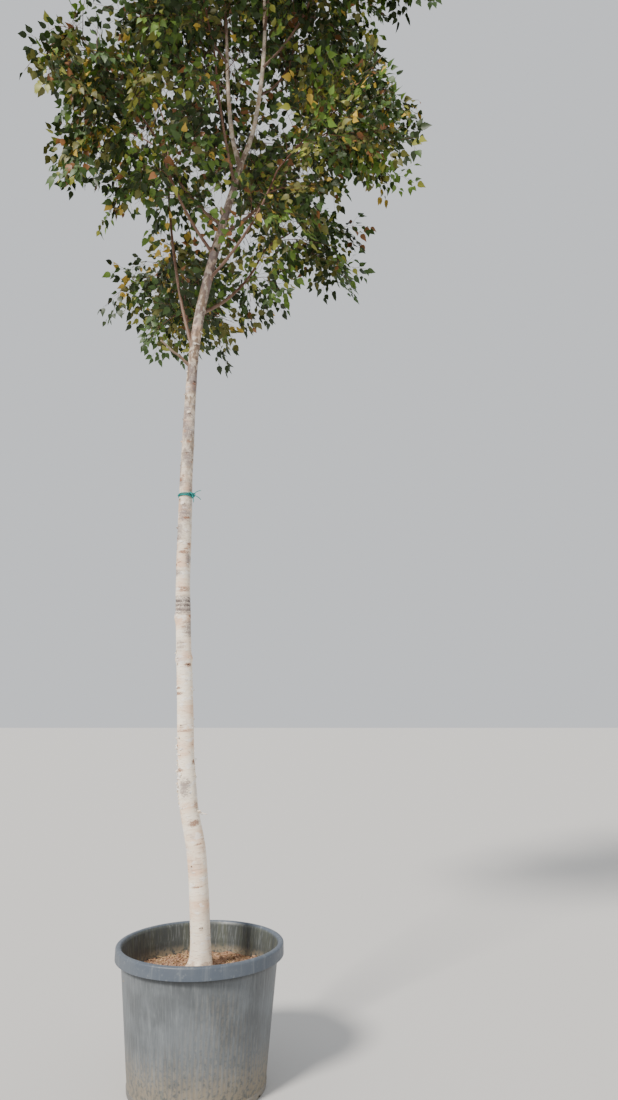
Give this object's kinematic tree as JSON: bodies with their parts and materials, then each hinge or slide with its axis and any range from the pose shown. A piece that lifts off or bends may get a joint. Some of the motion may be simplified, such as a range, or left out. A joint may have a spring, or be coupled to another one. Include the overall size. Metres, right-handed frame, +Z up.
{
  "type": "potted birch tree",
  "caption": "Young white-barked birch with a bare leaning trunk, a high fork, ascending boughs and airy small-leaved foliage, standing in a round nursery pot of soil.",
  "frame": {"origin": "centre of the pot's flat underside, on the surface that it stands on", "axes": "+Z up, +X to the right and +Y away from the viewer in the reference view, in which the trunk leans left and its top swings right"},
  "size_m": [1.8992, 1.8716, 6.5081],
  "materials": {
    "pot_plastic": "dark grey moulded plastic, faded and dusty",
    "soil": "crumbly reddish brown soil",
    "white_bark": "cream papery bark with dark cross lines and knots, peeling at its edges",
    "young_bark": "smooth reddish brown bark with pale dots",
    "leaf": "thin toothed leaves, mostly green with some yellow and orange brown",
    "twine": "teal green twisted twine"
  },
  "bodies": {
    "root": {"pot": "pot_plastic", "soil": "soil", "trunk": "white_bark", "leader_right": "white_bark", "leader_left": "white_bark", "bough_left_low": "young_bark", "bough_left_mid": "young_bark", "bough_left_high": "young_bark", "bough_back_low": "young_bark", "bough_right_back": "young_bark", "bough_right_front": "young_bark", "bough_right_high": "young_bark", "bough_back_high": "young_bark", "bough_front_high": "young_bark", "bough_upper_back": "young_bark", "bough_upper_right": "young_bark", "bough_upper_left": "young_bark", "bough_upper_front": "young_bark", "bough_high_front": "young_bark", "dead_snag": "young_bark", "foliage_left_low": "leaf", "foliage_left_mid": "leaf", "foliage_left_high": "leaf", "foliage_back_low": "leaf", "foliage_right_back": "leaf", "foliage_right_front": "leaf", "foliage_right_high": "leaf", "foliage_back_high": "leaf", "foliage_front_high": "leaf", "foliage_upper_back": "leaf", "foliage_upper_right": "leaf", "foliage_upper_left": "leaf", "foliage_upper_front": "leaf", "foliage_high_front": "leaf", "foliage_tip_right": "leaf", "foliage_tip_left": "leaf", "foliage_top_back": "leaf", "foliage_top_right": "leaf", "foliage_top_front": "leaf", "twine_tie": "twine"}
  },
  "joints": []
}
